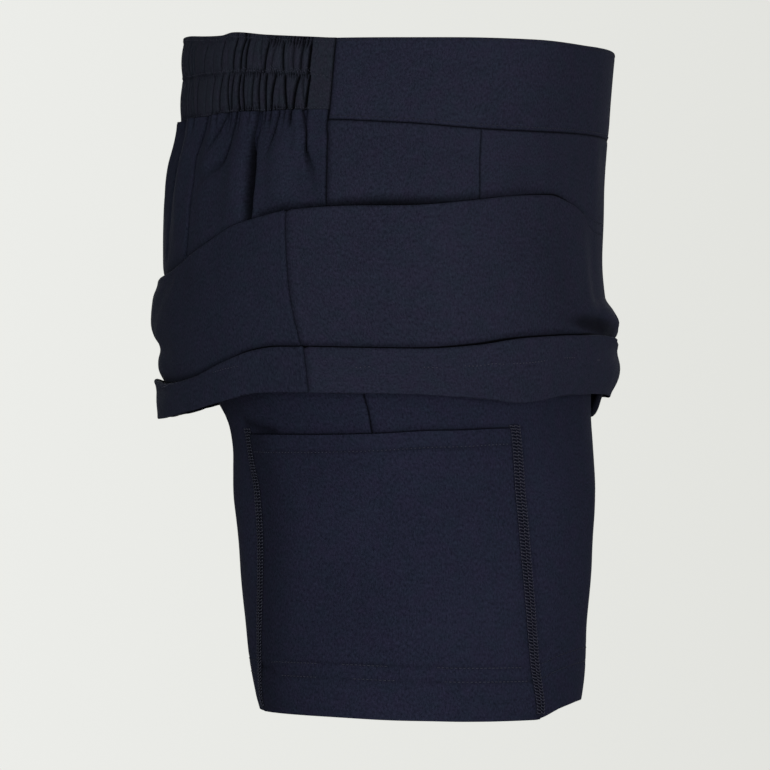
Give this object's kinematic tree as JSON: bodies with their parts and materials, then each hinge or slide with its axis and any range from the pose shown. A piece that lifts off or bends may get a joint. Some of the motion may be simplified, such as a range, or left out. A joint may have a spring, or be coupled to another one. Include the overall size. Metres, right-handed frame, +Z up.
{
  "type": "skort",
  "caption": "Hollow, filled-out pull-on skort: fitted shorts with thigh pockets under a skirt folded up round the hips, with a faced front waistband and a gathered elastic back.",
  "frame": {"origin": "middle of the waist opening, halfway up the waistband, where the wearer holds the garment up", "axes": "+Z up, -Y the way the wearer faces, -X the wearer's right, with the seen pocket"},
  "size_m": [0.371, 0.2587, 0.3644],
  "materials": {
    "knit": "matte navy double knit",
    "knit_gathered": "matte navy double knit, gathered on elastic",
    "knit_shorts": "matte navy double knit"
  },
  "bodies": {
    "root": {"waistband_front": "knit", "waistband_back": "knit_gathered", "skirt_front": "knit", "skirt_back": "knit", "shorts_right_front": "knit_shorts", "shorts_right_back": "knit_shorts", "shorts_left_front": "knit_shorts", "shorts_left_back": "knit_shorts", "pocket_right": "knit_shorts", "pocket_left": "knit_shorts"}
  },
  "joints": []
}
